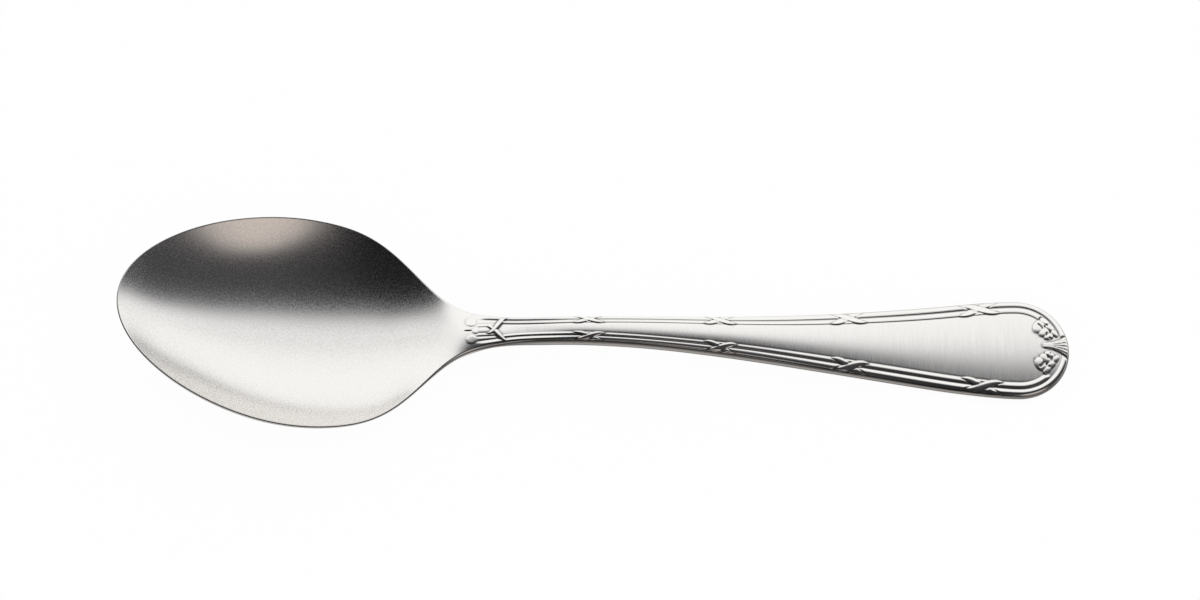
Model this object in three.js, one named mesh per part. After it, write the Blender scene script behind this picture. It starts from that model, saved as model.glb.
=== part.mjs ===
// Tablespoon: one stamping of stainless steel, blanked from strip, rolled thin at the bowl,
// coined with two reeds along each side of the handle and pressed to its bowl and arch.
// It lies as on a table: the bowl towards -X, the handle towards +X, +Z up, standing on the
// belly of the bowl and on the flat underside of the handle's end.
import * as THREE from "three";

// Driving dimensions, in millimetres. Places along the spoon count from the tip of the bowl.
const overallLength = 200;

// Bowl, seen from above.
const bowlWidth = 48;
const bowlWidestAt = 38;

// Neck and handle, seen from above. The end is an arc as wide as the handle.
const neckWidth = 5.8;
const neckAt = 90;
const endWidth = 22.2;
const endWidestAt = 189;

// Heights of the edge line: it falls from the tip of the bowl to the heel, rises over the
// arch of the handle and comes down to the end, which lies flat on the table.
const tipHeight = 18.8;
const heelHeight = 6.2;
const heelAt = 68;
const archHeight = 9;
const archAt = 98;
const levelAt = 177;

// Thickness of the steel.
const bowlThickness = 1.25;
const neckThickness = 3.1;
const endThickness = 2.25;
const thinUpTo = 50;
const neckThickFrom = 80;

// Floor of the bowl: it is lowest at the belly and climbs through the heel to the handle, whose
// face is domed a little above the edge line, more so past the arch.
const bellyAt = 45;
const bellyFlatDepth = 0.06;
const crownAtArch = 0.6;
const crownOnHandle = 0.95;
const crownFullAt = 135;

// Law of the face across the spoon: a higher power is flatter in the middle and steeper at the
// edge. It rises from the tip of the bowl to its widest part, and passes into the handle's law
// round the heel.
const tipPower = 2.1;
const hollowPower = 2.7;
const fullPowerAt = 36;
const crownPower = 2;
const heelBlendReach = 4;

// Reeds: an outer and an inner one along each edge, broader towards the end.
const outerReedAtNeck = 1.2;
const widestOuterReed = 1.86;
const innerReedAtNeck = 0.92;
const innerReedAtEnd = 1.56;
const reedRise = 0.24;
const reedsStartAt = 76;
const reedsFullAt = 84;

// Rounded edge: how far down the wall of the steel its widest place lies, and how far the
// rounding reaches in from there, above on the rim of the bowl (on the handle it reaches the crest
// of the outer reed) and below on the rim, the neck and the end.
const rimWidestShare = 0.26;
const handleWidestShare = 0.33;
const rimCorner = 0.45;
const rimUnderCorner = 1;
const neckUnderCorner = 2.4;
const endUnderCorner = 1.2;

// Fullness of the bowl's tip: 2 makes the front of the outline an ellipse, and less is more pointed.
const tipFullnessShare = 1.68;
// Outline from the widest place to the neck: share of the way, share of the width that is left
// above the neck's.
const shoulderShares = [
  [0, 1], [0.115, 0.981], [0.192, 0.947], [0.27, 0.885], [0.346, 0.784], [0.423, 0.632],
  [0.5, 0.443], [0.577, 0.257], [0.654, 0.12], [0.731, 0.05], [0.808, 0.018], [0.885, 0.004], [1, 0],
];
// Outline of the handle from the neck to its widest place: share of the way, share of the growth.
const handleShares = [
  [0, 0], [0.1, 0.015], [0.2, 0.057], [0.4, 0.22], [0.6, 0.465], [0.8, 0.765], [0.93, 0.953], [1, 1],
];
// Edge line: share of the way between two named places, share of the height between them.
const rimFallShares = [
  [0, 1], [0.176, 0.754], [0.3, 0.596], [0.44, 0.433], [0.56, 0.322], [0.68, 0.225], [0.79, 0.14],
  [0.88, 0.066], [0.95, 0.014], [1, 0],
];
const heelRiseShares = [
  [0, 0], [0.14, 0.077], [0.27, 0.25], [0.37, 0.42], [0.47, 0.58], [0.6, 0.75], [0.733, 0.88],
  [0.893, 0.98], [1, 1],
];
const archFallShares = [
  [0, 1], [0.152, 0.935], [0.278, 0.795], [0.405, 0.62], [0.53, 0.4415], [0.658, 0.2755],
  [0.785, 0.138], [0.911, 0.032], [1, 0],
];
// Floor line on the middle plane: from the tip down to the belly, and up to the arch.
const floorFallShares = [
  [0, 1], [0.067, 0.857], [0.133, 0.722], [0.267, 0.5], [0.444, 0.273], [0.622, 0.122],
  [0.8, 0.033], [1, 0],
];
const floorRiseShares = [
  [0, 0], [0.094, 0.025], [0.2, 0.1], [0.25, 0.158], [0.302, 0.262], [0.3585, 0.4], [0.415, 0.518],
  [0.472, 0.603], [0.528, 0.665], [0.585, 0.718], [0.66, 0.783], [0.755, 0.86], [0.849, 0.925],
  [0.925, 0.975], [1, 1],
];
// Reeds from the neck to the end: share of the way, share of the growth in width.
const outerReedShares = [
  [0, 0], [0.28, 0.03], [0.45, 0.64], [0.65, 0.93], [0.77, 1], [0.89, 0.75], [1, 0.65],
];
const innerReedShares = [[0, 0], [0.25, -0.08], [0.45, 0.25], [0.65, 0.72], [0.8, 0.9], [1, 1]];

// A smooth curve through share pairs, with continuous curvature: each slope is settled from its
// neighbours' until none changes. An end is level unless the start is free, which leaves it uncurved.
const settlingSweeps = 40;
function throughShares(pairs, startFree = false) {
  const last = pairs.length - 1;
  const widths = pairs.slice(1).map(([along], i) => along - pairs[i][0]);
  const steepness = pairs.slice(1).map(([, value], i) => (value - pairs[i][1]) / widths[i]);
  const slopes = pairs.map(() => 0);
  for (let sweep = 0; sweep < settlingSweeps; sweep += 1) {
    if (startFree) slopes[0] = (3 * steepness[0] - slopes[1]) / 2;
    for (let i = 1; i < last; i += 1) {
      const before = 1 / widths[i - 1];
      const after = 1 / widths[i];
      const drive = 3 * (steepness[i - 1] * before + steepness[i] * after);
      slopes[i] = (drive - slopes[i - 1] * before - slopes[i + 1] * after) / (2 * (before + after));
    }
  }
  return (along) => {
    const t = THREE.MathUtils.clamp(along, 0, 1);
    let i = 0;
    while (i < last - 1 && t > pairs[i + 1][0]) i += 1;
    const s = (t - pairs[i][0]) / widths[i];
    const ease = s * s * (3 - 2 * s);
    const rise = pairs[i][1] + (pairs[i + 1][1] - pairs[i][1]) * ease;
    return rise + widths[i] * (slopes[i] * s * (1 - s) * (1 - s) - slopes[i + 1] * s * s * (1 - s));
  };
}

const shoulder = throughShares(shoulderShares);
const handleGrowth = throughShares(handleShares);
const rimFall = throughShares(rimFallShares, true);
const heelRise = throughShares(heelRiseShares);
const archFall = throughShares(archFallShares);
const floorFall = throughShares(floorFallShares, true);
const floorRise = throughShares(floorRiseShares);
const outerReedGrowth = throughShares(outerReedShares);
const innerReedGrowth = throughShares(innerReedShares);

const share = (value, from, to) => THREE.MathUtils.clamp((value - from) / (to - from), 0, 1);
const mix = THREE.MathUtils.lerp;
const easeBetween = (value, from, to) => THREE.MathUtils.smoothstep(value, from, to);

// The front of the bowl's outline: the square of the half width, level at the widest place.
function frontFullness(t) {
  return t * (tipFullnessShare + (3 - 2 * tipFullnessShare) * t + (tipFullnessShare - 2) * t * t);
}

// Half width of the outline at a place along the spoon.
function halfWidth(x) {
  if (x <= bowlWidestAt) return (bowlWidth / 2) * Math.sqrt(frontFullness(x / bowlWidestAt));
  if (x <= neckAt) return mix(neckWidth, bowlWidth, shoulder(share(x, bowlWidestAt, neckAt))) / 2;
  if (x <= endWidestAt) return mix(neckWidth, endWidth, handleGrowth(share(x, neckAt, endWidestAt))) / 2;
  const turn = share(x, endWidestAt, overallLength);
  return (endWidth / 2) * Math.sqrt(1 - turn * turn);
}

// Height of the edge line.
function edgeHeight(x) {
  if (x <= heelAt) return mix(heelHeight, tipHeight, rimFall(x / heelAt));
  if (x <= archAt) return mix(heelHeight, archHeight, heelRise(share(x, heelAt, archAt)));
  return mix(endThickness, archHeight, archFall(share(x, archAt, levelAt)));
}

// Height of the upper face on the middle plane.
function middleHeight(x) {
  const bellyFloor = bowlThickness - bellyFlatDepth;
  if (x <= bellyAt) return mix(bellyFloor, tipHeight, floorFall(x / bellyAt));
  const crown = mix(crownAtArch, crownOnHandle, easeBetween(x, archAt, crownFullAt));
  if (x >= archAt) return edgeHeight(x) + crown;
  return mix(bellyFloor, archHeight + crownAtArch, floorRise(share(x, bellyAt, archAt)));
}

// Share of the way from the middle line to the outline. Round the end it is measured
// from the centre of the end's arc.
function shareOut(x, y) {
  if (x <= 0) return 1;
  if (x <= endWidestAt) return Math.min(Math.abs(y) / halfWidth(x), 1);
  const along = (x - endWidestAt) / (overallLength - endWidestAt);
  return Math.min(Math.hypot(along, y / (endWidth / 2)), 1);
}

// Upper face without the reeds: a hollow in the bowl and a low dome on the handle.
function faceHeightAt(x, y) {
  const inside = THREE.MathUtils.clamp(x, 0, overallLength);
  const pastHeel = easeBetween(inside, heelAt - heelBlendReach, heelAt + heelBlendReach);
  const inBowl = mix(tipPower, hollowPower, easeBetween(inside, 0, fullPowerAt));
  const bulge = 1 - shareOut(inside, y) ** mix(inBowl, crownPower, pastHeel);
  return edgeHeight(inside) + (middleHeight(inside) - edgeHeight(inside)) * bulge;
}

// Thickness of the steel along the spoon, square to its face.
function thickness(x) {
  if (x <= neckThickFrom) return mix(bowlThickness, neckThickness, easeBetween(x, thinUpTo, neckThickFrom));
  return mix(neckThickness, endThickness, share(x, neckThickFrom, levelAt));
}

// Steepness of the face, which makes a pressed sheet thicker when measured straight down.
const probe = bowlThickness / 5;
function slopeFactor(x, y) {
  const back = Math.max(x - probe, probe);
  const along = (faceHeightAt(back + 2 * probe, y) - faceHeightAt(back, y)) / (2 * probe);
  const across = (faceHeightAt(x, y + probe) - faceHeightAt(x, y - probe)) / (2 * probe);
  return Math.hypot(1, along, across);
}

// Underside: the bowl's is parallel to its face, the handle's is flat across, and where the two
// pass into each other the steel is never thinner than it should be. The belly and the end of the
// handle reach the table and no lower.
function undersideHeightAt(x, y) {
  const pressed = faceHeightAt(x, y) - thickness(x) * slopeFactor(x, y);
  const flat = edgeHeight(x) - thickness(x);
  const blended = mix(pressed, flat, easeBetween(x, thinUpTo, neckThickFrom));
  return Math.max(Math.min(pressed, blended), 0);
}

// Widths of the two reeds at a place along the spoon.
function reedWidths(x) {
  const alongHandle = share(x, neckThickFrom, overallLength);
  return {
    outer: mix(outerReedAtNeck, widestOuterReed, outerReedGrowth(alongHandle)),
    inner: mix(innerReedAtNeck, innerReedAtEnd, innerReedGrowth(alongHandle)),
  };
}

// Rings round the edge: turns of its rounding, from the widest place up or down.
const upperTurns = [Math.PI / 4, Math.PI / 2];
const lowerTurns = [Math.PI / 6, Math.PI / 3, Math.PI / 2];

// Rings inside the rounded edge. In the bowl and below they are shares of the way in, and on the
// upper face of the handle they follow the reeds, as distances in from the outline: outer groove,
// inner crest, inner groove, face.
const bowlRingShares = [0.15, 0.32, 0.5, 0.74];
const undersideRingShares = [0.25, 0.5, 0.75];
const reedPlaces = [
  { rise: 0, inset: ({ outer }) => outer },
  { rise: reedRise, inset: ({ outer, inner }) => outer + inner / 2 },
  { rise: 0, inset: ({ outer, inner }) => outer + inner },
  { rise: 0, inset: ({ outer, inner }, reach) => (outer + inner + reach) / 2 },
];

// Stations along one side of the outline, from the tip of the bowl to the end of the handle,
// closer together where the outline turns.
const frontSteps = 16;
const shoulderSteps = 28;
const handleSteps = 36;
const endSteps = 12;
function stationsAlong() {
  const stations = [];
  for (let i = 0; i < frontSteps; i += 1) {
    stations.push(bowlWidestAt * (1 - Math.cos((Math.PI / 2) * (i / frontSteps))));
  }
  for (let i = 0; i < shoulderSteps; i += 1) stations.push(mix(bowlWidestAt, neckAt, i / shoulderSteps));
  for (let i = 0; i < handleSteps; i += 1) stations.push(mix(neckAt, endWidestAt, i / handleSteps));
  for (let i = 0; i <= endSteps; i += 1) {
    stations.push(mix(endWidestAt, overallLength, Math.sin((Math.PI / 2) * (i / endSteps))));
  }
  return stations;
}

// For each station: its outline point and the point of the middle line that the outline's
// inward normal meets. The middle points only move forward, so no two rings cross.
function outlineRays() {
  const stations = stationsAlong();
  let reached = 0;
  const rays = stations.map((x) => {
    const lower = Math.max(x - probe, 0);
    const upper = Math.min(x + probe, overallLength);
    const growth = (halfWidth(upper) ** 2 - halfWidth(lower) ** 2) / (2 * (upper - lower));
    const foot = x >= endWidestAt ? endWidestAt : Math.min(x + growth, endWidestAt);
    reached = Math.max(reached, foot);
    return { x, y: halfWidth(x), foot: reached };
  });
  rays[0].y = 0;
  rays[rays.length - 1].y = 0;
  return rays;
}

// One closed skin: the outermost ring runs round the widest place of the edge, the upper rings
// climb in over the reeds to the middle line, and the lower rings follow the underside.
function spoonGeometry() {
  const rays = outlineRays();
  const last = rays.length - 1;
  const around = rays.map((ray) => ({ ...ray, side: 1 }));
  for (let i = last - 1; i > 0; i -= 1) around.push({ ...rays[i], side: -1 });

  const positions = [];
  const addPoint = (x, y, z) => {
    positions.push(x - overallLength / 2, y, z);
    return positions.length / 3 - 1;
  };
  const pointAt = (ray, inShare) => ({
    x: mix(ray.x, ray.foot, inShare),
    y: mix(ray.y, 0, inShare) * ray.side,
  });
  around.forEach((ray) => {
    ray.reach = Math.hypot(ray.x - ray.foot, ray.y);
    ray.reeded = easeBetween(ray.x, reedsStartAt, reedsFullAt);
    ray.reeds = reedWidths(ray.x);
    ray.cornerShare = mix(rimCorner, ray.reeds.outer / 2, ray.reeded) / ray.reach;
    const underHandle = mix(neckUnderCorner, endUnderCorner, share(ray.x, neckThickFrom, levelAt));
    ray.underCornerShare = mix(rimUnderCorner, underHandle, ray.reeded) / ray.reach;
    const inner = pointAt(ray, ray.cornerShare);
    const wall = thickness(ray.x) * mix(slopeFactor(inner.x, inner.y), 1, ray.reeded);
    ray.widest = edgeHeight(ray.x) - wall * mix(rimWidestShare, handleWidestShare, ray.reeded);
  });

  const edgeRing = around.map((ray) => addPoint(ray.x, ray.y * ray.side, ray.widest));
  const upperCorner = upperTurns.map((turn) => around.map((ray) => {
    const { x, y } = pointAt(ray, ray.cornerShare * (1 - Math.cos(turn)));
    const top = faceHeightAt(x, y) + reedRise * ray.reeded;
    return addPoint(x, y, mix(ray.widest, top, Math.sin(turn)));
  }));
  const upperRings = reedPlaces.map((place, ring) => around.map((ray) => {
    const onHandle = place.inset(ray.reeds, ray.reach) / ray.reach;
    const { x, y } = pointAt(ray, Math.min(mix(bowlRingShares[ring], onHandle, ray.reeded), 1));
    return addPoint(x, y, faceHeightAt(x, y) + place.rise * ray.reeded);
  }));
  const lowerCorner = lowerTurns.map((turn) => around.map((ray) => {
    const { x, y } = pointAt(ray, ray.underCornerShare * (1 - Math.cos(turn)));
    return addPoint(x, y, mix(ray.widest, undersideHeightAt(x, y), Math.sin(turn)));
  }));
  const lowerRings = undersideRingShares.map((inShare) => around.map((ray) => {
    const { x, y } = pointAt(ray, mix(ray.underCornerShare, 1, inShare));
    return addPoint(x, y, undersideHeightAt(x, y));
  }));

  // The middle line is shared by both sides, and stations whose normals meet it at one place
  // share that point.
  const middleLine = (heightAt) => {
    const points = [];
    rays.forEach((ray, i) => {
      const same = i > 0 && ray.foot - rays[i - 1].foot < probe;
      points.push(same ? points[i - 1] : addPoint(ray.foot, 0, heightAt(ray.foot, 0)));
    });
    return around.map((ray, i) => points[i <= last ? i : 2 * last - i]);
  };
  const upperMiddle = middleLine(faceHeightAt);
  const lowerMiddle = middleLine(undersideHeightAt);

  const triangles = [];
  const addTriangle = (a, b, c) => {
    if (a !== b && b !== c && c !== a) triangles.push(a, b, c);
  };
  const addBand = (outer, inner, upward) => {
    for (let i = 0; i < around.length; i += 1) {
      const next = (i + 1) % around.length;
      const [a, b, c, d] = [outer[i], outer[next], inner[next], inner[i]];
      if (upward) {
        addTriangle(a, c, b);
        addTriangle(a, d, c);
      } else {
        addTriangle(a, b, c);
        addTriangle(a, c, d);
      }
    }
  };
  const upper = [edgeRing, ...upperCorner, ...upperRings, upperMiddle];
  const lower = [edgeRing, ...lowerCorner, ...lowerRings, lowerMiddle];
  for (let i = 1; i < upper.length; i += 1) addBand(upper[i - 1], upper[i], true);
  for (let i = 1; i < lower.length; i += 1) addBand(lower[i - 1], lower[i], false);

  const geometry = new THREE.BufferGeometry();
  geometry.setAttribute("position", new THREE.Float32BufferAttribute(positions, 3));
  geometry.setIndex(triangles);
  geometry.computeVertexNormals();
  return geometry;
}

const stainlessSteel = new THREE.MeshStandardMaterial({
  color: 0xe4e2df,
  roughness: 0.28,
  metalness: 1,
});

const spoon = new THREE.Mesh(spoonGeometry(), stainlessSteel);
spoon.name = "spoon";

const tablespoon = new THREE.Group();
tablespoon.add(spoon);

export default tablespoon;
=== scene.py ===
# %% [markdown]
# # A stamped steel tablespoon
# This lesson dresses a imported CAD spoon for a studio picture. The CAD part holds the size and the
# form. Blender adds what a pressing die and a polishing wheel add on the real one: crisp reeds,
# crossed ribbons, buds and leaves on the handle, a satin grain in the bowl and cross brushing
# along the handle.

import bpy
import numpy as np
from mathutils import Matrix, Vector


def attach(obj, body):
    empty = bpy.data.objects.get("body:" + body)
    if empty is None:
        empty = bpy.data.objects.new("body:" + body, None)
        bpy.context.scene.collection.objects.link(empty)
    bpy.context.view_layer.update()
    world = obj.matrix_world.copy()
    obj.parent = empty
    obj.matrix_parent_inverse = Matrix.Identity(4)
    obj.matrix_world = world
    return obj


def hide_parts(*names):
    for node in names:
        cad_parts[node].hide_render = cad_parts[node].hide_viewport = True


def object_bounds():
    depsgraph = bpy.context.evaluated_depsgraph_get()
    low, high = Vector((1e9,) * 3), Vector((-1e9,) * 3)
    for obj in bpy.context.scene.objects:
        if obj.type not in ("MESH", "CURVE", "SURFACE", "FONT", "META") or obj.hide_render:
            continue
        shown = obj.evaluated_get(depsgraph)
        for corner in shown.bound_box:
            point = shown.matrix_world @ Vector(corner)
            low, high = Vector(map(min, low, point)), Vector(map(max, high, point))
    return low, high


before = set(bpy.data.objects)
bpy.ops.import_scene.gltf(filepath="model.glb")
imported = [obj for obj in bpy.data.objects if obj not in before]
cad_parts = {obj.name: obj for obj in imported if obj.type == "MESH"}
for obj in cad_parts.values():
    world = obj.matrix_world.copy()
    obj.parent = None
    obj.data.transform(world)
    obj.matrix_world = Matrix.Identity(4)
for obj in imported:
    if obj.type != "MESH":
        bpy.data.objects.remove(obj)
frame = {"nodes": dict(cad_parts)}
cad_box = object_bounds()
METRES_PER_MM = 0.001
print("packed nodes:", ", ".join(frame["nodes"]))
for corner in cad_box:
    print("CAD box corner in millimetres:", [round(value / METRES_PER_MM, 2) for value in corner])

# %% [markdown]
# ## Camera
# The picture looks down on the spoon from its near side, from above the bowl, and the camera is
# turned a little about its own axis so that the spoon lies level in the frame. A long lens far away
# keeps the perspective gentle. Three directions are worked out from the angles, and then the camera
# is set back along its sight line from the point at the middle of the picture.

# %% Camera
picture_width_px = 1200
picture_height_px = 600
pixels_per_mm = 4.8061
spoon_middle_px = (591.6, 347.2)
camera_distance = 2500
sensor_width = 36
nearest_seen_m, furthest_seen_m = 0.05, 20
azimuth, elevation, roll = np.radians([-12.52, 63.34, 12.12])

sight_back = np.array([
    np.sin(azimuth) * np.cos(elevation),
    -np.cos(azimuth) * np.cos(elevation),
    np.sin(elevation),
])
level_right = np.array([np.cos(azimuth), np.sin(azimuth), 0])
level_up = np.cross(sight_back, level_right)
picture_right = level_right * np.cos(roll) + level_up * np.sin(roll)
picture_up = level_up * np.cos(roll) - level_right * np.sin(roll)

aim = (
    (picture_width_px / 2 - spoon_middle_px[0]) * picture_right
    + (spoon_middle_px[1] - picture_height_px / 2) * picture_up
) / pixels_per_mm
eye = aim + camera_distance * sight_back

camera = bpy.data.objects.new("camera", bpy.data.cameras.new("camera"))
bpy.context.scene.collection.objects.link(camera)
camera.data.sensor_width = sensor_width
camera.data.lens = sensor_width * camera_distance * pixels_per_mm / picture_width_px
camera.data.clip_start = nearest_seen_m
camera.data.clip_end = furthest_seen_m
placement = Matrix.Identity(4)
for column, axis in enumerate((picture_right, picture_up, sight_back, eye * METRES_PER_MM)):
    for row in range(3):
        placement[row][column] = axis[row]
camera.matrix_world = placement
bpy.context.scene.camera = camera
print(f"camera: {camera.data.lens:.0f} mm lens at {camera_distance} mm")

# %% [markdown]
# ## Driving dimensions
# A spoon is one strip of steel, so its form is a few curves: the outline seen from above, the height
# of the edge line seen from the side, the floor of the bowl and the thickness. These are the CAD
# part's own dimensions, in millimetres, and places count from the tip of the bowl. Writing the form
# as curves instead of moving points by hand keeps every reflection smooth.

# %% Driving dimensions
overall_length = 200
bowl_width, bowl_widest_at = 48, 38
neck_width, neck_at = 5.8, 90
end_width, end_widest_at = 22.2, 189
tip_height = 18.8
heel_height, heel_at = 6.2, 68
arch_height, arch_at = 9, 98
level_at = 177
bowl_thickness, thin_up_to = 1.25, 50
neck_thickness, neck_thick_from = 3.1, 80
end_thickness = 2.25
belly_at, belly_flat_depth = 45, 0.06
crown_at_arch, crown_on_handle, crown_full_at = 0.6, 0.95, 135
tip_power, hollow_power, crown_power = 2.1, 2.7, 2.0
full_power_at, heel_blend_reach = 36, 4
tip_fullness = 1.68

# %% [markdown]
# ## Curves through a few points
# A designer draws such a curve with a spline through a handful of marks. This one goes through pairs
# of (share of the way, share of the change) with continuous curvature, because steel shows every
# jump of curvature as a kink in its reflection. The slopes at the marks come from one small set of
# linear equations. Below it are the three small helpers that the whole lesson mixes values with.

# %% Curves through a few points
def through_shares(pairs, start_free=False):
    along, value = np.array(pairs, float).T
    width = np.diff(along)
    steepness = np.diff(value) / width
    count = len(pairs)
    system = np.eye(count)
    drive = np.zeros(count)
    for i in range(1, count - 1):
        before, after = 1 / width[i - 1], 1 / width[i]
        system[i, i - 1 : i + 2] = before, 2 * (before + after), after
        drive[i] = 3 * (steepness[i - 1] * before + steepness[i] * after)
    if start_free:
        system[0, :2] = 2, 1
        drive[0] = 3 * steepness[0]
    slope = np.linalg.solve(system, drive)

    def curve(share_along):
        t = np.clip(share_along, 0, 1)
        i = np.clip(np.searchsorted(along, t, side="right") - 1, 0, count - 2)
        s = (t - along[i]) / width[i]
        rise = value[i] + (value[i + 1] - value[i]) * s * s * (3 - 2 * s)
        return rise + width[i] * (slope[i] * s * (1 - s) ** 2 - slope[i + 1] * s * s * (1 - s))

    return curve


def mix(start, end, share):
    return start + (end - start) * share


def share_of(value, start, end):
    return np.clip((value - start) / (end - start), 0, 1)


def ease_between(value, start, end):
    t = share_of(value, start, end)
    return t * t * (3 - 2 * t)


shoulder = through_shares([
    (0, 1), (0.115, 0.981), (0.192, 0.947), (0.27, 0.885), (0.346, 0.784), (0.423, 0.632),
    (0.5, 0.443), (0.577, 0.257), (0.654, 0.12), (0.731, 0.05), (0.808, 0.018), (0.885, 0.004), (1, 0),
])
handle_growth = through_shares([
    (0, 0), (0.1, 0.015), (0.2, 0.057), (0.4, 0.22), (0.6, 0.465), (0.8, 0.765), (0.93, 0.953), (1, 1),
])
rim_fall = through_shares([
    (0, 1), (0.176, 0.754), (0.3, 0.596), (0.44, 0.433), (0.56, 0.322), (0.68, 0.225), (0.79, 0.14),
    (0.88, 0.066), (0.95, 0.014), (1, 0),
], start_free=True)
heel_rise = through_shares([
    (0, 0), (0.14, 0.077), (0.27, 0.25), (0.37, 0.42), (0.47, 0.58), (0.6, 0.75), (0.733, 0.88),
    (0.893, 0.98), (1, 1),
])
arch_fall = through_shares([
    (0, 1), (0.152, 0.935), (0.278, 0.795), (0.405, 0.62), (0.53, 0.4415), (0.658, 0.2755),
    (0.785, 0.138), (0.911, 0.032), (1, 0),
])
floor_fall = through_shares([
    (0, 1), (0.067, 0.857), (0.133, 0.722), (0.267, 0.5), (0.444, 0.273), (0.622, 0.122),
    (0.8, 0.033), (1, 0),
], start_free=True)
floor_rise = through_shares([
    (0, 0), (0.094, 0.025), (0.2, 0.1), (0.25, 0.158), (0.302, 0.262), (0.3585, 0.4),
    (0.415, 0.518), (0.472, 0.603), (0.528, 0.665), (0.585, 0.718), (0.66, 0.783), (0.755, 0.86),
    (0.849, 0.925), (0.925, 0.975), (1, 1),
])
outer_reed_growth = through_shares([
    (0, 0), (0.28, 0.03), (0.45, 0.64), (0.65, 0.93), (0.77, 1), (0.89, 0.75), (1, 0.65),
])
inner_reed_growth = through_shares([
    (0, 0), (0.25, -0.08), (0.45, 0.25), (0.65, 0.72), (0.8, 0.9), (1, 1),
])
print("half way along the handle's growth:", round(float(handle_growth(0.5)), 3))

# %% [markdown]
# ## Outline and heights
# Seen from above, the front of the bowl is a full egg end, the shoulder draws in to the neck, and the
# handle flares to a round end. Seen from the side, the edge falls from the tip to the heel, rises
# over the arch and levels off. Each is one function of the place along the spoon, and works on a
# whole array of places at once.

# %% Outline and heights
def half_width(x):
    t = share_of(x, 0, bowl_widest_at)
    fullness = t * (tip_fullness + (3 - 2 * tip_fullness) * t + (tip_fullness - 2) * t * t)
    front = bowl_width / 2 * np.sqrt(np.maximum(fullness, 0))
    shoulders = mix(neck_width, bowl_width, shoulder(share_of(x, bowl_widest_at, neck_at))) / 2
    handle = mix(neck_width, end_width, handle_growth(share_of(x, neck_at, end_widest_at))) / 2
    turn = share_of(x, end_widest_at, overall_length)
    end = end_width / 2 * np.sqrt(1 - turn * turn)
    zones = [x <= bowl_widest_at, x <= neck_at, x <= end_widest_at]
    return np.select(zones, [front, shoulders, handle], end)


def edge_height(x):
    rim = mix(heel_height, tip_height, rim_fall(x / heel_at))
    heel = mix(heel_height, arch_height, heel_rise(share_of(x, heel_at, arch_at)))
    handle = mix(end_thickness, arch_height, arch_fall(share_of(x, arch_at, level_at)))
    return np.select([x <= heel_at, x <= arch_at], [rim, heel], handle)


def middle_height(x):
    belly_floor = bowl_thickness - belly_flat_depth
    front = mix(belly_floor, tip_height, floor_fall(x / belly_at))
    heel = mix(belly_floor, arch_height + crown_at_arch, floor_rise(share_of(x, belly_at, arch_at)))
    crown = mix(crown_at_arch, crown_on_handle, ease_between(x, arch_at, crown_full_at))
    return np.select([x <= belly_at, x < arch_at], [front, heel], edge_height(x) + crown)


print("widths at the neck and the end:", half_width(np.array([neck_at, end_widest_at])) * 2)

# %% [markdown]
# ## Upper face and underside
# Across the spoon the face is a hollow in the bowl and a low dome on the handle: the same law with
# the middle below or above the edge. The underside follows the face at the steel's thickness in the
# bowl, and is flat across the handle. Where the face is steep, a pressed sheet is thicker measured
# straight down, so the thickness is multiplied by the steepness, which is measured over a short
# distance on either side of a point.

# %% Upper face and underside
probe = 0.25
thinnest_half_width = 1e-6


def share_out(x, y):
    beside = np.abs(y) / np.maximum(half_width(np.minimum(x, end_widest_at)), thinnest_half_width)
    along = (x - end_widest_at) / (overall_length - end_widest_at)
    round_end = np.hypot(along, y / (end_width / 2))
    return np.minimum(np.select([x <= 0, x <= end_widest_at], [np.ones_like(x), beside], round_end), 1)


def face_height(x, y):
    inside = np.clip(x, 0, overall_length)
    past_heel = ease_between(inside, heel_at - heel_blend_reach, heel_at + heel_blend_reach)
    in_bowl = mix(tip_power, hollow_power, ease_between(inside, 0, full_power_at))
    bulge = 1 - share_out(inside, y) ** mix(in_bowl, crown_power, past_heel)
    return mix(edge_height(inside), middle_height(inside), bulge)


def thickness(x):
    bowl = mix(bowl_thickness, neck_thickness, ease_between(x, thin_up_to, neck_thick_from))
    handle = mix(neck_thickness, end_thickness, share_of(x, neck_thick_from, level_at))
    return np.where(x <= neck_thick_from, bowl, handle)


def steepness_factor(x, y):
    back = np.maximum(x - probe, probe)
    along = (face_height(back + 2 * probe, y) - face_height(back, y)) / (2 * probe)
    across = (face_height(x, y + probe) - face_height(x, y - probe)) / (2 * probe)
    return np.sqrt(1 + along**2 + across**2)


def underside_height(x, y):
    pressed = face_height(x, y) - thickness(x) * steepness_factor(x, y)
    flat = edge_height(x) - thickness(x)
    blended = mix(pressed, flat, ease_between(x, thin_up_to, neck_thick_from))
    return np.maximum(np.minimum(pressed, blended), 0)


print("steel at the tip, the neck and the end:", thickness(np.array([0, neck_at, overall_length])))

# %% [markdown]
# ## Reeds and crossed ribbons
# The pattern is coined: the die squeezes the steel up into its hollows. Along each edge run two low
# reeds with a fine groove between them. The inner one leans outward, and a deeper groove with a soft
# far side borders it against the field. At four places a pair of ribbons crosses over the reeds.
# The relief is written as a height above the face, from the place along the outline and the distance
# in from it, and the highest form wins, as where one ribbon lies on another. A ribbon swings from one
# side to the other in a flat S, tapers at both ends, and has a narrow gap beside it. Sculpting or a
# displacement picture could draw all this too, but a formula stays crisp and is changed by a number.

# %% Reeds
outer_reed_at_neck, widest_outer_reed = 1.2, 1.86
inner_reed_at_neck, inner_reed_at_end = 0.92, 1.56
reed_rise_share, reed_roundness = 0.108, 1.6
inner_crest_share = 0.36
groove_depth, groove_reach = 0.08, 0.1
border_depth, border_reach, field_side_reach = 0.25, 0.1, 0.4
inner_reed_ends_at, inner_reed_taper = 197.2, 1.2


def rounded(t, roundness=2.7):
    return np.clip(1 - np.abs(t) ** roundness, 0, 1)


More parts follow.
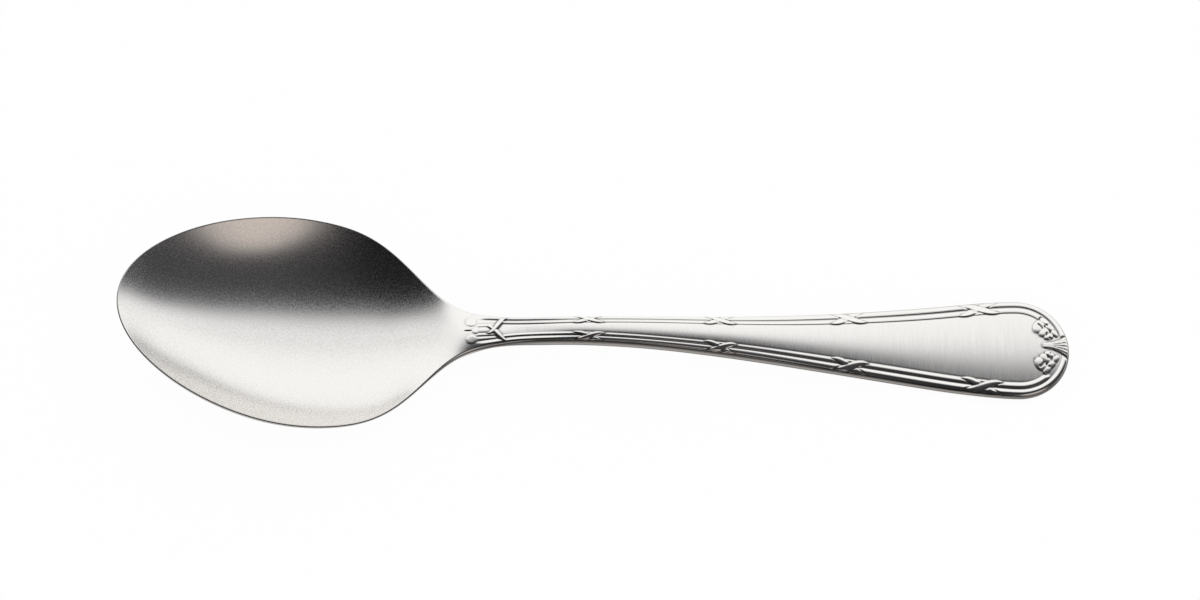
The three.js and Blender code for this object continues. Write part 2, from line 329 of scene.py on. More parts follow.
def reed_widths(x):
    along_handle = share_of(x, neck_thick_from, overall_length)
    return (
        mix(outer_reed_at_neck, widest_outer_reed, outer_reed_growth(along_handle)),
        mix(inner_reed_at_neck, inner_reed_at_end, inner_reed_growth(along_handle)),
    )


def reed_relief(x, inset):
    outer, inner = reed_widths(x)
    outer_reed = rounded(np.maximum(2 * inset / outer - 1, 0), reed_roundness)
    inner_end = 1 - ease_between(x, inner_reed_ends_at - inner_reed_taper, inner_reed_ends_at)
    past_crest = (inset - outer) / inner - inner_crest_share
    side_breadth = np.where(past_crest < 0, inner_crest_share, 1 - inner_crest_share)
    inner_reed = rounded(past_crest / side_breadth, reed_roundness) * inner_end
    groove = groove_depth * np.exp(-(((inset - outer) / groove_reach) ** 2))
    from_border = inset - outer - inner
    border = from_border / np.where(from_border > 0, field_side_reach, border_reach)
    cut = groove + border_depth * np.exp(-(border**2)) * inner_end
    return reed_rise_share * np.maximum(outer * outer_reed, inner * inner_reed) - cut


# %% Crossed ribbons
ribbon_places = [98.5, 126, 153.2, 181]
ribbon_lengths = [6.6, 6.8, 7.8, 8.9]
ribbon_rise, under_ribbon_share = 0.2, 0.94
ribbon_swing, ribbon_breadth, ribbon_roundness = 0.4, 0.27, 3
taper_roundness, taper_power, narrowest_taper = 2.4, 0.75, 1e-4
gap_level, gap_from, gap_to = 0.75, 0.95, 1.3
far_off = 9


def flat_s(along):
    """A flat S from -1 to 1 that is level at both ends, and its steepness."""
    near = np.clip(along, -1, 1)
    return 1.5 * near - 0.5 * near**3, 1.5 * (1 - near**2)


def strand(along, across, line, steepness, half_breadth):
    """Distance from a ribbon's middle line, in half breadths: under 1 is on the ribbon."""
    taper = np.clip(1 - np.abs(along) ** taper_roundness, narrowest_taper, 1) ** taper_power
    distance = np.abs(across - line) / np.sqrt(1 + steepness**2) / (half_breadth * taper)
    return np.where(np.abs(along) < 1, distance, far_off)


def ribbon_relief(x, inset, relief):
    pair = sum(reed_widths(x))
    swing = pair * ribbon_swing
    for place, length in zip(ribbon_places, ribbon_lengths):
        along = (x - place) / (length / 2)
        sweep, steepness = flat_s(along)
        for direction, rise in ((-1, ribbon_rise * under_ribbon_share), (1, ribbon_rise)):
            line = pair / 2 + direction * swing * sweep
            tilt = swing * steepness / (length / 2)
            distance = strand(along, inset, line, tilt, pair * ribbon_breadth)
            cleared = relief * mix(gap_level, 1, ease_between(distance, gap_from, gap_to))
            relief = np.maximum(cleared, rise * rounded(distance, ribbon_roundness))
    return relief


print("reed widths at the end:", [round(float(width), 2) for width in reed_widths(overall_length)])

# %% [markdown]
# ## Stems and buds at the bowl
# Where the handle meets the bowl the reeds run on as a bundle of five stems, tied by two ribbons
# that cross in a chevron, and end in three buds that lie in the bowl's heel. They are drawn from
# above, in millimetres, as ridges side by side and as low flat domes, once for both sides, as the
# middle of the spoon is a mirror.

# %% Stems
stem_grooves = [0.66, 1.45]
bundle_starts_at, bundle_ends_at = 75.4, 79.5
bundle_half_width_at_start, bundle_narrowing = 2.5, 0.09
stem_rise = 0.04
stem_begin_reach, stem_end_reach = (-0.3, 0.4), (-0.8, 0.4)


def bundle_half_width(x):
    return bundle_half_width_at_start - bundle_narrowing * (x - bundle_starts_at)


def stem_relief(x, y):
    out = np.abs(y)
    edges = [-stem_grooves[0], stem_grooves[0], stem_grooves[1], bundle_half_width(x)]
    ridges = [
        rounded((out - (low + high) / 2) / ((high - low) / 2), reed_roundness)
        for low, high in zip(edges, edges[1:])
    ]
    begins = ease_between(x, *(bundle_starts_at + reach for reach in stem_begin_reach))
    ends = 1 - ease_between(x, *(bundle_ends_at + reach for reach in stem_end_reach))
    return stem_rise * np.maximum.reduce(ridges) * begins * ends


# %% Tie
tie_at, tie_half_length, tie_out, tie_swing = 79.7, 2.1, 0.95, 1.7
tie_half_breadth = 0.6
tie_rises = {-1: 0.17, 1: 0.19}


def tie_relief(x, y, relief):
    along = (x - tie_at) / tie_half_length
    sweep, steepness = flat_s(along)
    line = tie_out + tie_swing * sweep
    tilt = tie_swing * steepness / tie_half_length
    for side_of_spoon, rise in tie_rises.items():
        distance = strand(along, y * side_of_spoon, line, tilt, tie_half_breadth)
        relief = np.maximum(relief, rise * rounded(distance, ribbon_roundness))
    return relief


# %% Buds
side_bud_place, side_bud_radii = (74.3, 2.0), (1.15, 1.05)
middle_bud_place, middle_bud_radii = (75.2, 0), (0.75, 0.75)
bud_rise, middle_bud_share, bud_roundness = 0.045, 0.9, 6
slit_at, slit_half_length, slit_reach, slit_depth = 73.65, 0.8, 0.13, 0.12
dome_power = 0.75


def dome(x, y, place, radii, turned=0.0, roundness=2.0):
    """A low dome on an oval, from 1 on its top to 0 outside."""
    angle = np.radians(turned)
    along = (x - place[0]) * np.cos(angle) + (y - place[1]) * np.sin(angle)
    across = (y - place[1]) * np.cos(angle) - (x - place[0]) * np.sin(angle)
    outward = np.hypot(along / radii[0], across / radii[1])
    return np.clip(1 - outward**roundness, 0, 1) ** dome_power


def bud_relief(x, y):
    side_bud = dome(x, np.abs(y), side_bud_place, side_bud_radii, roundness=bud_roundness)
    middle_bud = dome(x, y, middle_bud_place, middle_bud_radii, roundness=bud_roundness)
    slit = rounded((x - slit_at) / slit_half_length) * np.exp(-((y / slit_reach) ** 2))
    return bud_rise * np.maximum(side_bud, middle_bud_share * middle_bud) - slit_depth * slit


print("stems from the tip, in millimetres:", bundle_starts_at, "to", bundle_ends_at)

# %% [markdown]
# ## Leaf fan and flower sprays at the end
# The outer reeds run round the end to a small fan of ribs, and a spray of petals sits on either side
# of it where the inner reeds stop. Each petal is a low dome, and the creases between them are simply
# where two domes meet, so they need no drawing of their own. Small pits set off the petals. This
# ornament sits a little to one side of the middle, as a die that isn't quite centred on the blank
# leaves it. The arrangement is a plain one of its kind.

# %% Leaf fan
end_offset = 0.6
fan_half_widths = [
    (193.9, 0.3), (194.5, 0.65), (196.5, 0.95), (198, 1.6), (199, 2.35), (199.7, 2.85), (201, 3.7),
]
fan_ribs, rib_groove_share, rib_sharpness = 6, 0.3, 2.5
fan_rise, fan_roundness = 0.26, 5
fan_rises_between, ribs_open_between = (194.0, 195.2), (194.8, 198)
fan_clearing_from, fan_clearing_to = 0.95, 1.25
fan_clearing_starts_at = 194


def fan_half_width(x):
    places, widths = np.array(fan_half_widths).T
    return np.interp(x, places, widths)


def fan_relief(x, y, relief):
    across = (y - end_offset) / fan_half_width(x)
    rib = across * fan_ribs / 2
    beside_rib = np.abs(rib - np.floor(rib) - 0.5) * 2
    opened = ease_between(x, *ribs_open_between)
    ribbed = 1 - rib_groove_share * opened * beside_rib**rib_sharpness
    height = fan_rise * ease_between(x, *fan_rises_between) * ribbed * rounded(across, fan_roundness)
    beside = np.where(x > fan_clearing_starts_at, np.abs(across), far_off)
    cleared = relief * ease_between(beside, fan_clearing_from, fan_clearing_to)
    return np.maximum(cleared, np.where(np.abs(across) < 1, height, 0))


# %% Flower sprays
spray_rise, petal_roundness = 0.22, 2.6
petal_margin, spray_clearing = 0.25, 0.35
petals = [
    ((193.8, 4.35), (1.75, 1.35), 58),
    ((194.7, 3.05), (1.3, 1.0), 48),
    ((195.7, 2.1), (1.15, 0.8), 25),
    ((195.0, 5.6), (1.25, 0.7), -48),
    ((196.0, 4.3), (1.2, 0.75), -52),
    ((196.9, 3.0), (1.1, 0.65), -58),
]
pits = [
    (196.1, 3.2), (195.9, 1.7), (196.8, 2.1), (196.6, 4.9), (195.5, 4.8), (194.9, 4.4),
    (193.6, 4.9), (193.9, 4.65), (194.15, 4.35), (194.35, 4.0), (195.2, 2.5), (195.3, 2.85),
]
pit_depth, pit_reach = 0.16, 0.21


def spray_relief(x, y, relief):
    out = np.abs(y - end_offset)
    cover = np.zeros_like(x)
    height = np.zeros_like(x)
    for place, radii, turned in petals:
        margin = [radius + petal_margin for radius in radii]
        height = np.maximum(height, spray_rise * dome(x, out, place, radii, turned, petal_roundness))
        cover = np.maximum(cover, dome(x, out, place, margin, turned))
    for place in pits:
        distance = np.hypot(x - place[0], out - place[1]) / pit_reach
        on_petal = np.minimum(height / spray_rise * 2, 1)
        height = height - pit_depth * np.exp(-(distance**2)) * on_petal
    return np.maximum(relief * (1 - ease_between(cover, 0, spray_clearing)), height)


print("petals and pits on each side:", len(petals), len(pits))

# %% [markdown]
# ## All the relief together
# The forms are laid down in the order in which they cover each other. Between the bowl and the
# handle the outer reed widens to follow the stems, and fades out on the bowl's shoulder.

# %% All the relief together
reed_begins, stems_join_reed = (74.5, 78), (79.6, 81.2)
buds_before, stems_before = 77, 83
sprays_after, fan_after = 190, 193
least_bud_height = 1e-4


def relief_height(station, inset, x, y):
    reeds = reed_relief(station, inset)
    shoulder_reed = np.maximum(half_width(station) - bundle_half_width(station), outer_reed_at_neck)
    reed = rounded(np.maximum(2 * inset / shoulder_reed - 1, 0), reed_roundness)
    on_shoulder = reed_rise_share * outer_reed_at_neck * reed
    beside_stems = 1 - ease_between(station, *stems_join_reed)
    relief = mix(reeds, on_shoulder, beside_stems) * ease_between(station, *reed_begins)
    relief = ribbon_relief(station, inset, relief)
    relief = np.where(x < stems_before, np.maximum(relief, stem_relief(x, y)), relief)
    relief = np.where(x < stems_before, tie_relief(x, y, relief), relief)
    buds = bud_relief(x, y)
    relief = np.where((x < buds_before) & (np.abs(buds) > least_bud_height), buds, relief)
    relief = np.where(x > sprays_after, spray_relief(x, y, relief), relief)
    return np.where(x > fan_after, fan_relief(x, y, relief), relief)


# %% [markdown]
# ## Stations and rays
# The skin is a grid of rings that run round the outline and rays that run in from it, square to the
# edge, to the middle line. A ring then lies along each reed, which a grid of plain rows and columns
# couldn't do at the round ends. Stations along the outline stand closer where there is ornament.

# %% Stations and rays
front_steps, end_steps, counting_steps = 60, 104, 6001
plain_step, ornament_step = 0.62, 0.17
stems_crowd_at, stems_crowd_reach, ribbons_crowd_reach = 77.5, 5.5, 0.6
end_crowds_from, end_crowds_fully = 183, 188


def crowding(distance, reach):
    return np.exp(-((distance / reach) ** 6))


def stations_along():
    front = bowl_widest_at * (1 - np.cos(np.linspace(0, np.pi / 2, front_steps, endpoint=False)))
    fine = np.linspace(bowl_widest_at, end_widest_at, counting_steps)
    density = crowding(fine - stems_crowd_at, stems_crowd_reach)
    for place, length in zip(ribbon_places, ribbon_lengths):
        density = np.maximum(density, crowding(fine - place, length * ribbons_crowd_reach))
    density = np.maximum(density, ease_between(fine, end_crowds_from, end_crowds_fully))
    steps = mix(1 / plain_step, 1 / ornament_step, density)
    reached = np.concatenate([[0], np.cumsum((steps[1:] + steps[:-1]) / 2 * np.diff(fine))])
    even = np.linspace(0, reached[-1], int(reached[-1]), endpoint=False)
    between = np.interp(even, reached, fine)
    end = mix(end_widest_at, overall_length, np.sin(np.linspace(0, np.pi / 2, end_steps + 1)))
    return np.concatenate([front, between, end])


def outline_rays():
    """Stations, their half widths, and the points of the middle line that their rays meet."""
    x = stations_along()
    lower = np.maximum(x - probe, 0)
    upper = np.minimum(x + probe, overall_length)
    growth = (half_width(upper) ** 2 - half_width(lower) ** 2) / (2 * (upper - lower))
    foot = np.where(x >= end_widest_at, end_widest_at, np.minimum(x + growth, end_widest_at))
    y = half_width(x)
    y[0] = y[-1] = 0
    return x, y, np.maximum.accumulate(foot)


ray_x, ray_y, ray_foot = outline_rays()
print("stations on one side:", len(ray_x))

# %% [markdown]
# ## The skin
# The edge of the steel is rounded above and below, as a blanked and tumbled edge is. The rim of the
# bowl is widest near its top, and the handle further down. Above the edge the rings climb over the
# reeds to the middle line, and below it they follow the underside, so the mesh closes on itself
# without a seam. A bevel modifier couldn't follow the reeds, so the corner has rings too. Each ring
# also carries how much of the side wall's painted shade it takes, and how much of the lighter painted
# shade at the wall's foot. The corner's rings tell that by how far the corner has turned, from 0
# degrees at the widest place to 90 on top.

# %% The skin's sizes
rim_widest_share, neck_widest_share, end_widest_share = 0.26, 0.63, 0.36
rim_corner, rim_under_corner, neck_under_corner, end_under_corner = 0.45, 1.0, 2.4, 1.2
# The side wall carries painted shade, placed by how far a corner has turned, in degrees: it fades out
# over these turns of the upper corner at the rim, the neck and the end, its lighter foot gives way to
# the darker shade above over the next pair, and it fades out on the lower corner over the last pair.
# On the round end the lighter foot is weaker.
rim_edge_turns, neck_edge_turns, end_edge_turns = (30, 75), (66, 82), (38, 66)
wall_foot_turns, lower_edge_turns = (20, 44), (45, 85)
round_end_foot, foot_fades_by = 0.3, 197
handle_begins, neck_edge_from = (74, 80), 78
corner_steps = 10
reed_rings, field_rings, underside_rings = 28, 36, 20
beside_reeds = 0.25
bowl_crowding, field_crowding, underside_crowding = 1.15, 1.6, 1.3

side = np.concatenate([np.ones(len(ray_x)), -np.ones(len(ray_x) - 2)])
mirror = np.concatenate([np.arange(len(ray_x)), np.arange(len(ray_x) - 2, 0, -1)])
loop_x, loop_y, loop_foot = ray_x[mirror], ray_y[mirror], ray_foot[mirror]
reach = np.hypot(loop_x - loop_foot, loop_y)
on_handle = ease_between(loop_x, *handle_begins)
corner = mix(rim_corner, reed_widths(loop_x)[0] / 2, on_handle)
reed_zone = sum(reed_widths(loop_x)) + beside_reeds
toward_neck = ease_between(loop_x, neck_edge_from, neck_at)
toward_end = ease_between(loop_x, neck_at, level_at)
print("points in a ring:", len(loop_x))

# %% Rings
vertices, reliefs, wall_shade_shares, foot_shade_shares = [], [], [], []
none = np.zeros(len(loop_x))


def along_edge(at_rim, at_neck, at_end):
    """A value that passes from the rim's to the neck's and on to the end's."""
    return mix(mix(at_rim, at_neck, toward_neck), at_end, toward_end)


# Each ring also carries its share of the side wall's painted shade and of the lighter painted shade at
# the wall's foot.
def add_ring(x, y, z, relief, wall_shade_share=0.0, foot_shade_share=1.0):
    start = sum(len(part) for part in vertices)
    vertices.append(np.column_stack([x - overall_length / 2, y, z]))
    reliefs.append(relief)
    wall_shade_shares.append(np.full(len(x), wall_shade_share))
    foot_shade_shares.append(np.full(len(x), foot_shade_share))
    return start + np.arange(len(x))


def ring_points(inset):
    inward = inset / reach
    return mix(loop_x, loop_foot, inward), loop_y * side * (1 - inward)


inner_x, inner_y = ring_points(corner)
wall = thickness(loop_x) * steepness_factor(inner_x, inner_y)
wall = mix(wall, thickness(loop_x), on_handle)
widest = edge_height(loop_x) - wall * along_edge(rim_widest_share, neck_widest_share, end_widest_share)
under_handle = mix(neck_under_corner, end_under_corner, share_of(loop_x, neck_thick_from, level_at))
under_corner = mix(rim_under_corner, under_handle, on_handle)
edge_turns = [along_edge(*turns) for turns in zip(rim_edge_turns, neck_edge_turns, end_edge_turns)]
# The lighter painted shade at the wall's foot comes in toward the neck and is weaker on the round end.
foot_level = toward_neck * mix(1, round_end_foot, ease_between(loop_x, level_at, foot_fades_by))

# The widest ring takes the side wall's painted shade in full, at the lighter shade of its foot.
edge_ring = add_ring(loop_x, loop_y * side, widest, none, 1)
print("corner of the rim and of the end:", rim_corner, round(float(corner[len(ray_x) - 1]), 2))

# %% Rings above the edge
upper_rings = [edge_ring]
for turn in np.linspace(0, np.pi / 2, corner_steps + 1)[1:]:
    inset = corner * (1 - np.cos(turn))
    x, y = ring_points(inset)
    relief = relief_height(loop_x, inset, x, y)
    height = mix(widest, face_height(x, y) + relief, np.sin(turn))
    # The side wall's painted shade fades out as the corner turns up, and the lighter painted shade of
    # its foot gives way to the darker painted shade above it.
    wall_shade_share = 1 - share_of(np.degrees(turn), *edge_turns)
    foot_shade_share = (1 - share_of(np.degrees(turn), *wall_foot_turns)) * foot_level
    upper_rings.append(add_ring(x, y, height, relief, wall_shade_share, foot_shade_share))

insets = [mix(corner, reed_zone, step) for step in np.arange(1, reed_rings + 1) / reed_rings]
for step in np.arange(1, field_rings) / field_rings:
    insets.append(mix(reed_zone, reach, step**field_crowding))
for count, handle_inset in enumerate(insets, 1):
    bowl_inset = mix(corner, reach, (count / (len(insets) + 1)) ** bowl_crowding)
    inset = mix(bowl_inset, handle_inset, on_handle)
    x, y = ring_points(inset)
    relief = relief_height(loop_x, inset, x, y)
    upper_rings.append(add_ring(x, y, face_height(x, y) + relief, relief))
print("rings above the edge:", len(upper_rings))

# %% Rings below the edge
lower_rings = [edge_ring]
for turn in np.linspace(0, np.pi / 2, corner_steps + 1)[1:]:
    x, y = ring_points(under_corner * (1 - np.cos(turn)))
    height = mix(widest, underside_height(x, y), np.sin(turn))
    # The lower corner takes the lighter painted shade of the wall's foot until it has turned well
    # under.
    wall_shade_share = 1 - share_of(np.degrees(turn), *lower_edge_turns)
    lower_rings.append(add_ring(x, y, height, none, wall_shade_share))
for step in np.arange(1, underside_rings) / underside_rings:
    x, y = ring_points(mix(under_corner, reach, step**underside_crowding))
    lower_rings.append(add_ring(x, y, underside_height(x, y), none))
print("rings below the edge:", len(lower_rings))

# %% [markdown]
# ## The middle line and the faces
# Both sides share the points of the middle line. Rays that meet it at one place share one point, so
# no two points coincide. Then every pair of rings is joined by a band of faces.

# %% The middle line and the faces
same_foot = 0.02


def middle_line(height_at, with_relief):
    own = np.concatenate([[True], np.diff(ray_foot) >= same_foot])
    foot = ray_foot[own]
    zero = np.zeros(len(foot))
    relief = relief_height(foot, half_width(foot), foot, zero) if with_relief else zero
    points = add_ring(foot, zero, height_at(foot, zero) + relief, relief)
    return points[np.cumsum(own) - 1][mirror]


upper_rings.append(middle_line(face_height, True))
lower_rings.append(middle_line(underside_height, False))
print("points:", sum(len(part) for part in vertices))

# %% Faces
def band(outer, inner, upward):
    """Faces between two rings. Where a side has shrunk to a point, the face is a triangle."""
    outer_next, inner_next = np.roll(outer, -1), np.roll(inner, -1)
    corners = (outer, inner, inner_next, outer_next)
    if not upward:
        corners = (outer, outer_next, inner_next, inner)
    around = (tuple(dict.fromkeys(face)) for face in zip(*(ring.tolist() for ring in corners)))
    return [face for face in around if len(face) > 2]


faces = []
for rings, upward in ((upper_rings, True), (lower_rings, False)):
    for outer, inner in zip(rings, rings[1:]):
        faces += band(outer, inner, upward)

skin = np.concatenate(vertices)
relief_values = np.concatenate(reliefs)
mesh = bpy.data.meshes.new("spoon_skin")
mesh.from_pydata((skin * METRES_PER_MM).tolist(), [], faces)
mesh.polygons.foreach_set("use_smooth", np.ones(len(faces), bool))
mesh.update()
print(f"skin: {len(skin)} points, {len(faces)} faces")

# %% [markdown]
# ## Where each finish and painted shade lies
# The bowl and the handle are finished differently, and the polishing wheel never reaches the bottom
# of a groove. Five numbers are stored at each point for the material to read: how much it belongs
# to the bowl, to the brushed field between the reeds, to the side wall's painted shade and to the
# lighter painted shade at the foot of that wall, and how deep it lies beside the relief round it,
# which makes a groove rougher, and darker as painted shade. The last one compares a point
# with the average of its neighbours. Numbers worked out from the form follow it when a size changes,
# and a painted mask wouldn't.

# %% Where each finish and painted shade lies
crevice_spread = 6
crevice_full_depth, counted_as_crevice = 0.05, 0.5
bowl_finish_ends, field_finish_begins = (66, 74), (80, 86)
field_blend = 0.5


def store(name, values):
    attribute = mesh.attributes.new(name, "FLOAT", "POINT")
    attribute.data.foreach_set("value", np.asarray(values, np.float32))


edge_ends = np.empty(len(mesh.edges) * 2, np.int32)
mesh.edges.foreach_get("vertices", edge_ends)
first, second = edge_ends.reshape(-1, 2).T
neighbours = np.bincount(edge_ends, minlength=len(skin))
level = relief_values.copy()
for _ in range(crevice_spread):
    gathered = np.bincount(first, level[second], len(skin))
    gathered = gathered + np.bincount(second, level[first], len(skin))
    level = (level + gathered) / (1 + neighbours)
# The material makes these low places rougher, and paints them darker as painted shade.
crevice = np.clip((level - relief_values) / crevice_full_depth, 0, 1)

from_tip = skin[:, 0] + overall_length / 2
inset_of = half_width(from_tip) - np.abs(skin[:, 1])
both_reeds = sum(reed_widths(from_tip))
in_field = ease_between(inset_of, both_reeds, both_reeds + field_blend)
store("bowl_finish", 1 - ease_between(from_tip, *bowl_finish_ends))
store("field_finish", in_field * ease_between(from_tip, *field_finish_begins))
store("crevice", crevice)
# The side wall's painted shade, and the lighter painted shade at its foot.
store("painted_wall_shade", np.concatenate(wall_shade_shares))
store("painted_foot_shade", np.concatenate(foot_shade_shares))
print(f"points in crevices: {np.count_nonzero(crevice > counted_as_crevice)}")

# %% [markdown]
# ## Steel
# Stainless steel is a pale grey metal with a breath of yellow in it. The bowl has been tumbled to a
# satin, with fine grit marks that run every way, and the field of the handle is brushed across. The
# bottoms of the grooves, which polish doesn't reach, are duller, and their colour is darkened as
# painted shade. The side wall is darkened as painted shade, and its foot is a lighter grey, a painted
# reflection of the shaded paper beside it. A bump from noise at the size of the marks tilts the
# surface, which breaks up the edge of each reflection as the real marks do. Noise in three dimensions
# has no seam and needs no unwrapping, so it suits a curved bowl better than a picture of scratches.

# %% Colours and nodes
def linear(hex_colour):
    """An sRGB hex colour as the linear colour that the shaders work in."""
    parts = [int(hex_colour[i : i + 2], 16) / 255 for i in (1, 3, 5)]
    return [
        part / 12.92 if part <= 0.04045 else ((part + 0.055) / 1.055) ** 2.4 for part in parts
    ] + [1]


def add_node(tree, kind, inputs=None, **settings):
    """Adds a shader node, with its settings, and with a value or a link for each named input."""
    node = tree.nodes.new("ShaderNode" + kind)
    for name, value in settings.items():
        setattr(node, name, value)
    for socket, value in (inputs or {}).items():
        if isinstance(value, bpy.types.NodeSocket):
            tree.links.new(value, node.inputs[socket])
        else:
            node.inputs[socket].default_value = value
    return node


# A Mix node numbers its sockets: its share, its two numbers and its two colours.
SHARE, FROM, TO, FROM_COLOUR, TO_COLOUR = 0, 2, 3, 6, 7
MIXED_NUMBER, MIXED_COLOUR = 0, 2
print("mid grey in linear light:", round(linear("#808080")[0], 3))

# %% Marks on the steel
steel = bpy.data.materials.new("stainless_steel_satin_and_brushed")
steel.use_nodes = True
tree = steel.node_tree
shader = tree.nodes["Principled BSDF"]

# Real grit marks are finer still, and these are drawn as coarse as they need to show.
grit_size = 0.45
brush_line_width, brush_line_length = 0.4, 6
mark_depth = 0.006

position = add_node(tree, "TexCoord").outputs["Object"]
bowl_finish, field_finish, wall_shade_share, foot_shade_share, crevice_share = (
    add_node(tree, "Attribute", attribute_name=name).outputs["Fac"]
    for name in ("bowl_finish", "field_finish", "painted_wall_shade", "painted_foot_shade", "crevice")
)
grit = add_node(tree, "TexNoise", {
    "Vector": position,
    "Scale": 1 / (grit_size * METRES_PER_MM),
    "Detail": 3,
    "Roughness": 0.6,
}).outputs["Fac"]
brush_mark = (brush_line_width, brush_line_length, brush_line_length)
brush_places = add_node(tree, "Mapping", {
    "Vector": position,
    "Scale": [1 / (size * METRES_PER_MM) for size in brush_mark],
}).outputs["Vector"]
brushing = add_node(tree, "TexNoise", {
    "Vector": brush_places,
    "Scale": 1,
    "Detail": 4,
    "Roughness": 0.65,
}).outputs["Fac"]

bowl_marks = add_node(tree, "Math", {0: grit, 1: bowl_finish}, operation="MULTIPLY").outputs[0]
field_marks = add_node(tree, "Math", {0: brushing, 1: field_finish}, operation="MULTIPLY").outputs[0]
marks = add_node(tree, "Math", {0: bowl_marks, 1: field_marks}, operation="ADD").outputs[0]
bump = add_node(tree, "Bump", {
    "Height": marks,
    "Strength": 1,
    "Distance": mark_depth * METRES_PER_MM,
})
tree.links.new(bump.outputs["Normal"], shader.inputs["Normal"])
print("marks in millimetres:", grit_size, brush_mark, "deep:", mark_depth)

# %% Roughness of the steel
polished, satin, brushed, unpolished = 0.14, (0.22, 0.3), (0.24, 0.29), 0.4
least_noise, most_noise = 0.36, 0.64

satin_grain, brushed_grain = (
    add_node(tree, "MapRange", {
        "Value": noise,
        "From Min": least_noise,
        "From Max": most_noise,
        "To Min": smoothest,
        "To Max": roughest,
    }).outputs[0]
    for noise, (smoothest, roughest) in ((grit, satin), (brushing, brushed))
)
roughness = polished
for share, finish in (
    (bowl_finish, satin_grain), (field_finish, brushed_grain), (crevice_share, unpolished),
):
    layers = {SHARE: share, FROM: roughness, TO: finish}
    roughness = add_node(tree, "Mix", layers, data_type="FLOAT").outputs[MIXED_NUMBER]
tree.links.new(roughness, shader.inputs["Roughness"])
print("roughness from", polished, "to", unpolished)

# %% Colour of the steel and its painted shade
steel_colour = linear("#F8F6F3")
# The side wall is darkened as painted shade, and its foot is a lighter painted grey, standing for the
# shaded paper that it would mirror.
wall_shade_colour, foot_shade_colour = linear("#332F2C"), linear("#9A9693")
# The grooves are darkened as painted shade.
groove_shade_colour = linear("#5E5750")

wall_shade_layers = {SHARE: foot_shade_share, FROM_COLOUR: wall_shade_colour, TO_COLOUR: foot_shade_colour}
wall_shade_tint = add_node(tree, "Mix", wall_shade_layers, data_type="RGBA").outputs[MIXED_COLOUR]
colour = steel_colour
# Over the bright steel go the side wall's painted shade and then the painted shade in the grooves.
for share, finish in ((wall_shade_share, wall_shade_tint), (crevice_share, groove_shade_colour)):
    layers = {SHARE: share, FROM_COLOUR: colour, TO_COLOUR: finish}
    colour = add_node(tree, "Mix", layers, data_type="RGBA").outputs[MIXED_COLOUR]
tree.links.new(colour, shader.inputs["Base Color"])
shader.inputs["Metallic"].default_value = 1
mesh.materials.append(steel)
print("material:", steel.name)

# %% [markdown]
# ## The spoon in the frame
# The dressed spoon takes the place of the plain CAD solid and rides on the only body there is, as
# nothing on a spoon moves by itself.

# %% The spoon in the frame
spoon = bpy.data.objects.new("spoon_steel", mesh)
bpy.context.scene.collection.objects.link(spoon)
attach(spoon, "root")
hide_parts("spoon")

# %% [markdown]
# ## Floor
# The spoon lies on plain white paper, and one big square is enough for it. The paper is brighter to
# the camera and in reflections than its own shade, which needs no stronger light on the spoon, and
# it still keeps a trace of the soft shadow.

# %% Floor
floor_size_m = 12
floor_gap = 0.02
half_floor = floor_size_m / 2
square = [(-1, -1), (1, -1), (1, 1), (-1, 1)]
floor_corners = [(x * half_floor, y * half_floor, -floor_gap * METRES_PER_MM) for x, y in square]
floor_mesh = bpy.data.meshes.new("paper_floor")
floor_mesh.from_pydata(floor_corners, [], [(0, 1, 2, 3)])
floor = bpy.data.objects.new("paper_floor", floor_mesh)
bpy.context.scene.collection.objects.link(floor)
print("floor:", floor_size_m, "metres square")

# %% Paper
white = linear("#FFFFFF")
paper_colour, paper_roughness = linear("#FAFAF9"), 0.9
paper_lift = 0.95

paper = bpy.data.materials.new("white_paper")
paper.use_nodes = True
tree = paper.node_tree
paper_shader = tree.nodes["Principled BSDF"]
paper_shader.inputs["Base Color"].default_value = paper_colour
paper_shader.inputs["Roughness"].default_value = paper_roughness
ray = add_node(tree, "LightPath").outputs
seen = ray["Is Camera Ray"]
for mirrored_or_through in ("Is Glossy Ray", "Is Transmission Ray"):
    rays = {0: seen, 1: ray[mirrored_or_through]}
    seen = add_node(tree, "Math", rays, operation="MAXIMUM").outputs[0]
lift = add_node(tree, "Math", {0: seen, 1: paper_lift}, operation="MULTIPLY").outputs[0]
glow = add_node(tree, "Emission", {"Color": white, "Strength": 1}).outputs[0]
lifted = add_node(tree, "MixShader", {0: lift, 1: paper_shader.outputs[0], 2: glow}).outputs[0]
tree.links.new(lifted, tree.nodes["Material Output"].inputs["Surface"])
floor_mesh.materials.append(paper)
print("material:", paper.name)

# %% [markdown]
# ## Studio
# Polished metal shows the room more than itself. The room here is the world: a big white wall of
# light on the far side that ends a little short of overhead, and a dim, cool room behind the camera
# with one pale warm card low at the side. Area lamps could stand there instead, but each would have
# to be kept out of sight in other views. Matt surfaces, here the paper, get one even white light, so
# that white paper renders white.

# %% Room and card
world = bpy.data.worlds.new("studio")
world.use_nodes = True
bpy.context.scene.world = world
tree = world.node_tree
direction = add_node(tree, "TexCoord").outputs["Generated"]
toward = add_node(tree, "SeparateXYZ", {0: direction}).outputs

room_left_level, room_right_level = 0.01, 0.05
room_left_end, room_right_end = -0.35, 0.5
card_direction = (0.5, -0.78, 0.37)
card_core_degrees, card_edge_degrees, card_level = 16, 27, 0.64
card_colour, room_colour = linear("#FFF2EA"), linear("#F6F7FF")

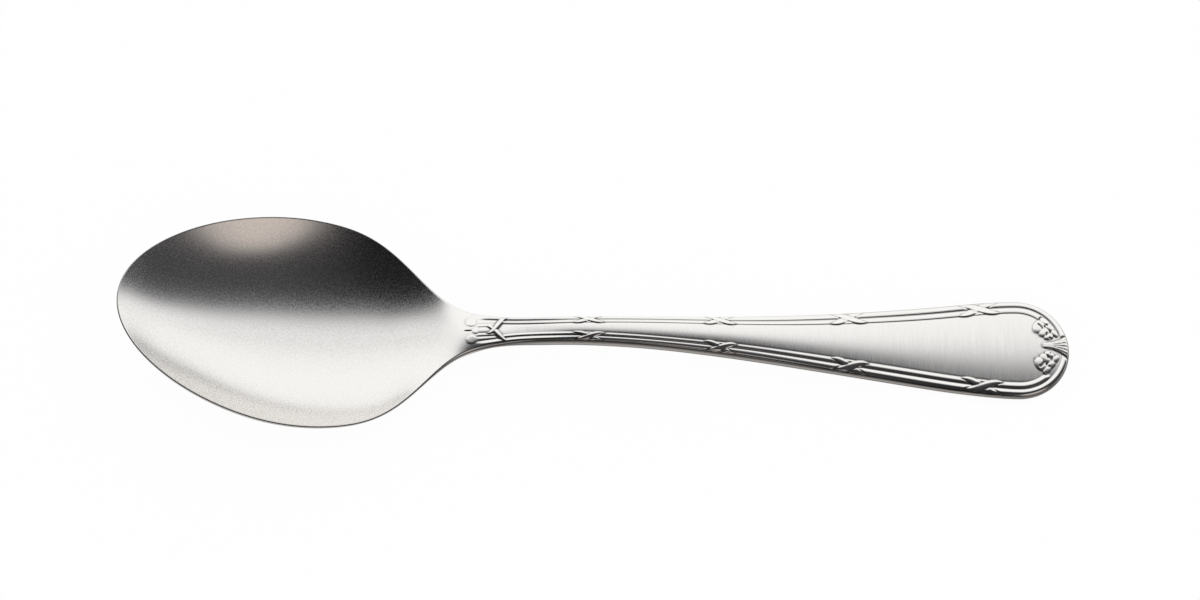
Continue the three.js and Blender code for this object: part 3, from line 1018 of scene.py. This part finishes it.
room = add_node(tree, "MapRange", {
    "Value": toward["X"],
    "From Min": room_left_end,
    "From Max": room_right_end,
    "To Min": room_left_level,
    "To Max": room_right_level,
}, interpolation_type="SMOOTHSTEP").outputs[0]
nearness = add_node(tree, "VectorMath", {0: direction, 1: card_direction}, operation="DOT_PRODUCT")
card = add_node(tree, "MapRange", {
    "Value": nearness.outputs["Value"],
    "From Min": np.cos(np.radians(card_edge_degrees)),
    "From Max": np.cos(np.radians(card_core_degrees)),
}, interpolation_type="SMOOTHSTEP").outputs[0]
card_light = add_node(tree, "Math", {0: card, 1: card_level}, operation="MULTIPLY").outputs[0]
room = add_node(tree, "Math", {0: room, 1: card_light}, operation="MAXIMUM").outputs[0]
card_layers = {SHARE: card, FROM_COLOUR: room_colour, TO_COLOUR: card_colour}
tint = add_node(tree, "Mix", card_layers, data_type="RGBA").outputs[MIXED_COLOUR]
print("card at full strength within", card_core_degrees, "degrees of", card_direction)

# %% Far wall
# Each step is how far a direction points to the far side, and how much of the wall it meets.
wall_steps = [(0.0, 0), (0.24, 0.05), (0.33, 0.52), (0.38, 0.94), (0.48, 1)]
wall_level = 1
matt_level = 1

wall = add_node(tree, "ValToRGB", {"Fac": toward["Y"]})
for position_of_step, _ in wall_steps[2:]:
    wall.color_ramp.elements.new(position_of_step)
for stop, (position_of_step, amount) in zip(wall.color_ramp.elements, wall_steps):
    stop.position = position_of_step
    stop.color = (amount, amount, amount, 1)
wall = wall.outputs["Color"]
matt = add_node(tree, "LightPath").outputs["Is Diffuse Ray"]
light = room
for share, level_there in ((wall, wall_level), (matt, matt_level)):
    layers = {SHARE: share, FROM: light, TO: level_there}
    light = add_node(tree, "Mix", layers, data_type="FLOAT").outputs[MIXED_NUMBER]
    layers = {SHARE: share, FROM_COLOUR: tint, TO_COLOUR: white}
    tint = add_node(tree, "Mix", layers, data_type="RGBA").outputs[MIXED_COLOUR]
tree.links.new(tint, tree.nodes["Background"].inputs["Color"])
tree.links.new(light, tree.nodes["Background"].inputs["Strength"])
bpy.context.scene.view_settings.view_transform = "Standard"
print("world:", world.name)
